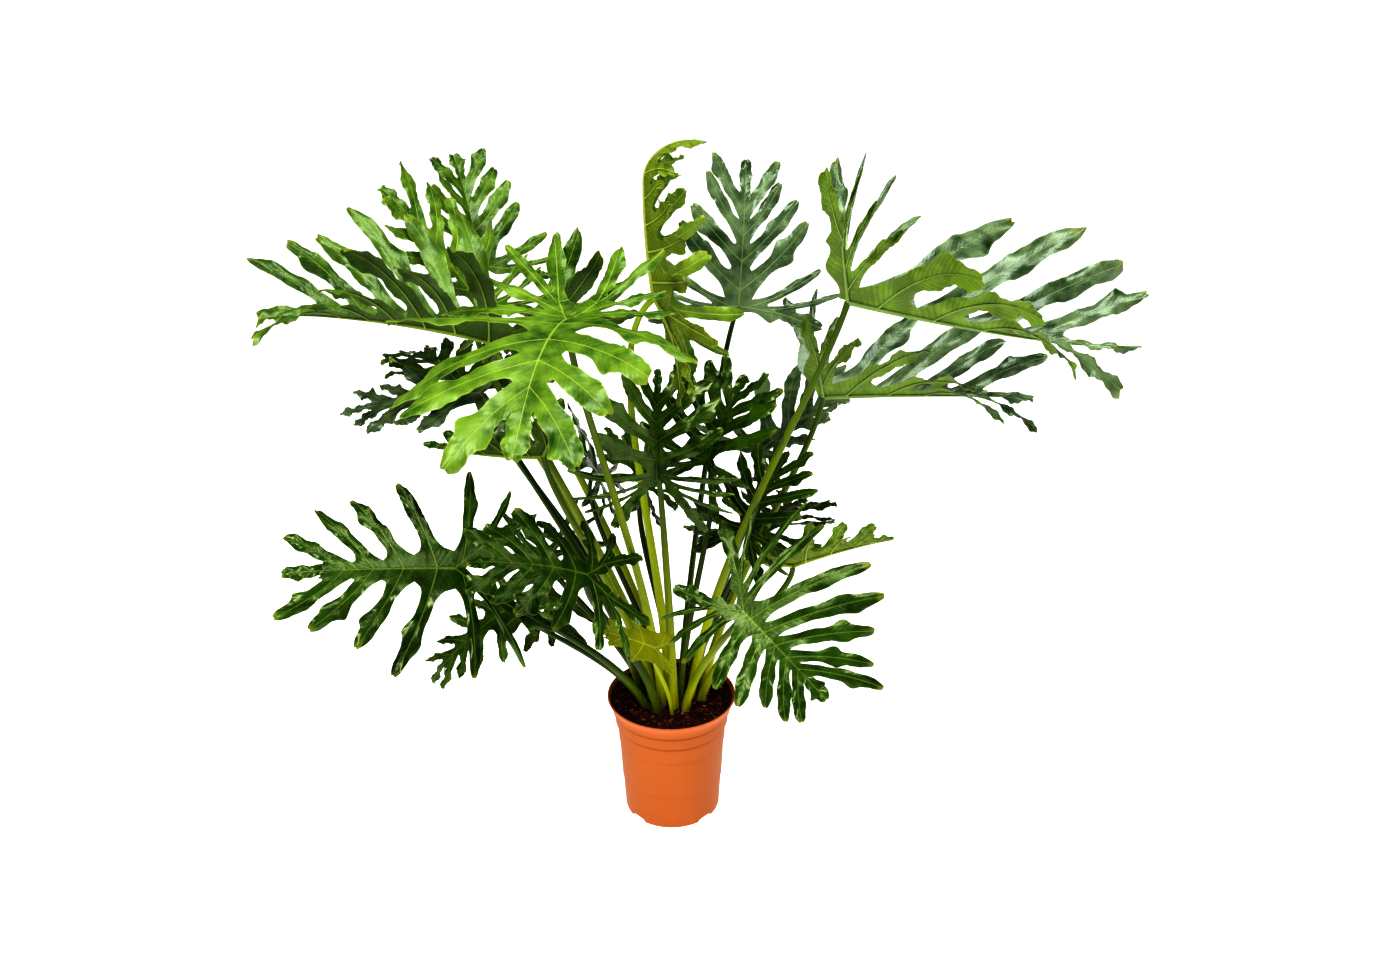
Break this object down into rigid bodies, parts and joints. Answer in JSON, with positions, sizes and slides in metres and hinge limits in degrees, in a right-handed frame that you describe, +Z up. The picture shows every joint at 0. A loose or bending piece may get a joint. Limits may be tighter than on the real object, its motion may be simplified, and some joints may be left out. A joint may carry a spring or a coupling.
{
  "type": "potted philodendron",
  "caption": "Potted house plant: arching stalks carry large glossy leaves cut into long waved lobes, above a tapered nursery pot with a flared rim.",
  "frame": {"origin": "middle of the pot's underside, on the surface that the pot stands on", "axes": "+Z up along the pot's axis; -Y towards the side with the best leaves, +X to the right seen from that side"},
  "size_m": [1.2053, 0.8292, 1.1093],
  "materials": {
    "pot": "terracotta-coloured moulded plastic, satin",
    "soil": "damp dark bark and peat",
    "petiole": "smooth yellow-green stalk skin",
    "blade_deep": "glossy deep green leaf",
    "blade_bright": "glossy bright green leaf",
    "blade_young": "soft yellow-green young leaf"
  },
  "bodies": {
    "root": {"pot": "pot", "soil": "soil", "petiole_01": "petiole", "petiole_02": "petiole", "petiole_03": "petiole", "petiole_04": "petiole", "petiole_05": "petiole", "petiole_06": "petiole", "petiole_07": "petiole", "petiole_08": "petiole", "petiole_09": "petiole", "petiole_10": "petiole", "petiole_11": "petiole", "petiole_12": "petiole", "petiole_13": "petiole", "petiole_14": "petiole", "petiole_15": "petiole", "petiole_16": "petiole", "petiole_17": "petiole", "petiole_18": "petiole", "petiole_19": "petiole", "petiole_20": "petiole", "petiole_21": "petiole", "petiole_22": "petiole", "petiole_23": "petiole", "petiole_24": "petiole", "petiole_25": "petiole", "blade_01": "blade_bright", "blade_02": "blade_bright", "blade_03": "blade_deep", "blade_04": "blade_deep", "blade_05": "blade_bright", "blade_06": "blade_bright", "blade_07": "blade_young", "blade_08": "blade_deep", "blade_09": "blade_deep", "blade_10": "blade_deep", "blade_11": "blade_deep", "blade_12": "blade_deep", "blade_13": "blade_deep", "blade_14": "blade_deep", "blade_15": "blade_deep", "blade_16": "blade_bright", "blade_17": "blade_deep", "blade_18": "blade_deep", "blade_19": "blade_deep", "blade_20": "blade_young", "blade_21": "blade_young", "blade_22": "blade_deep", "blade_23": "blade_deep", "blade_24": "blade_deep", "blade_25": "blade_deep"}
  },
  "joints": []
}
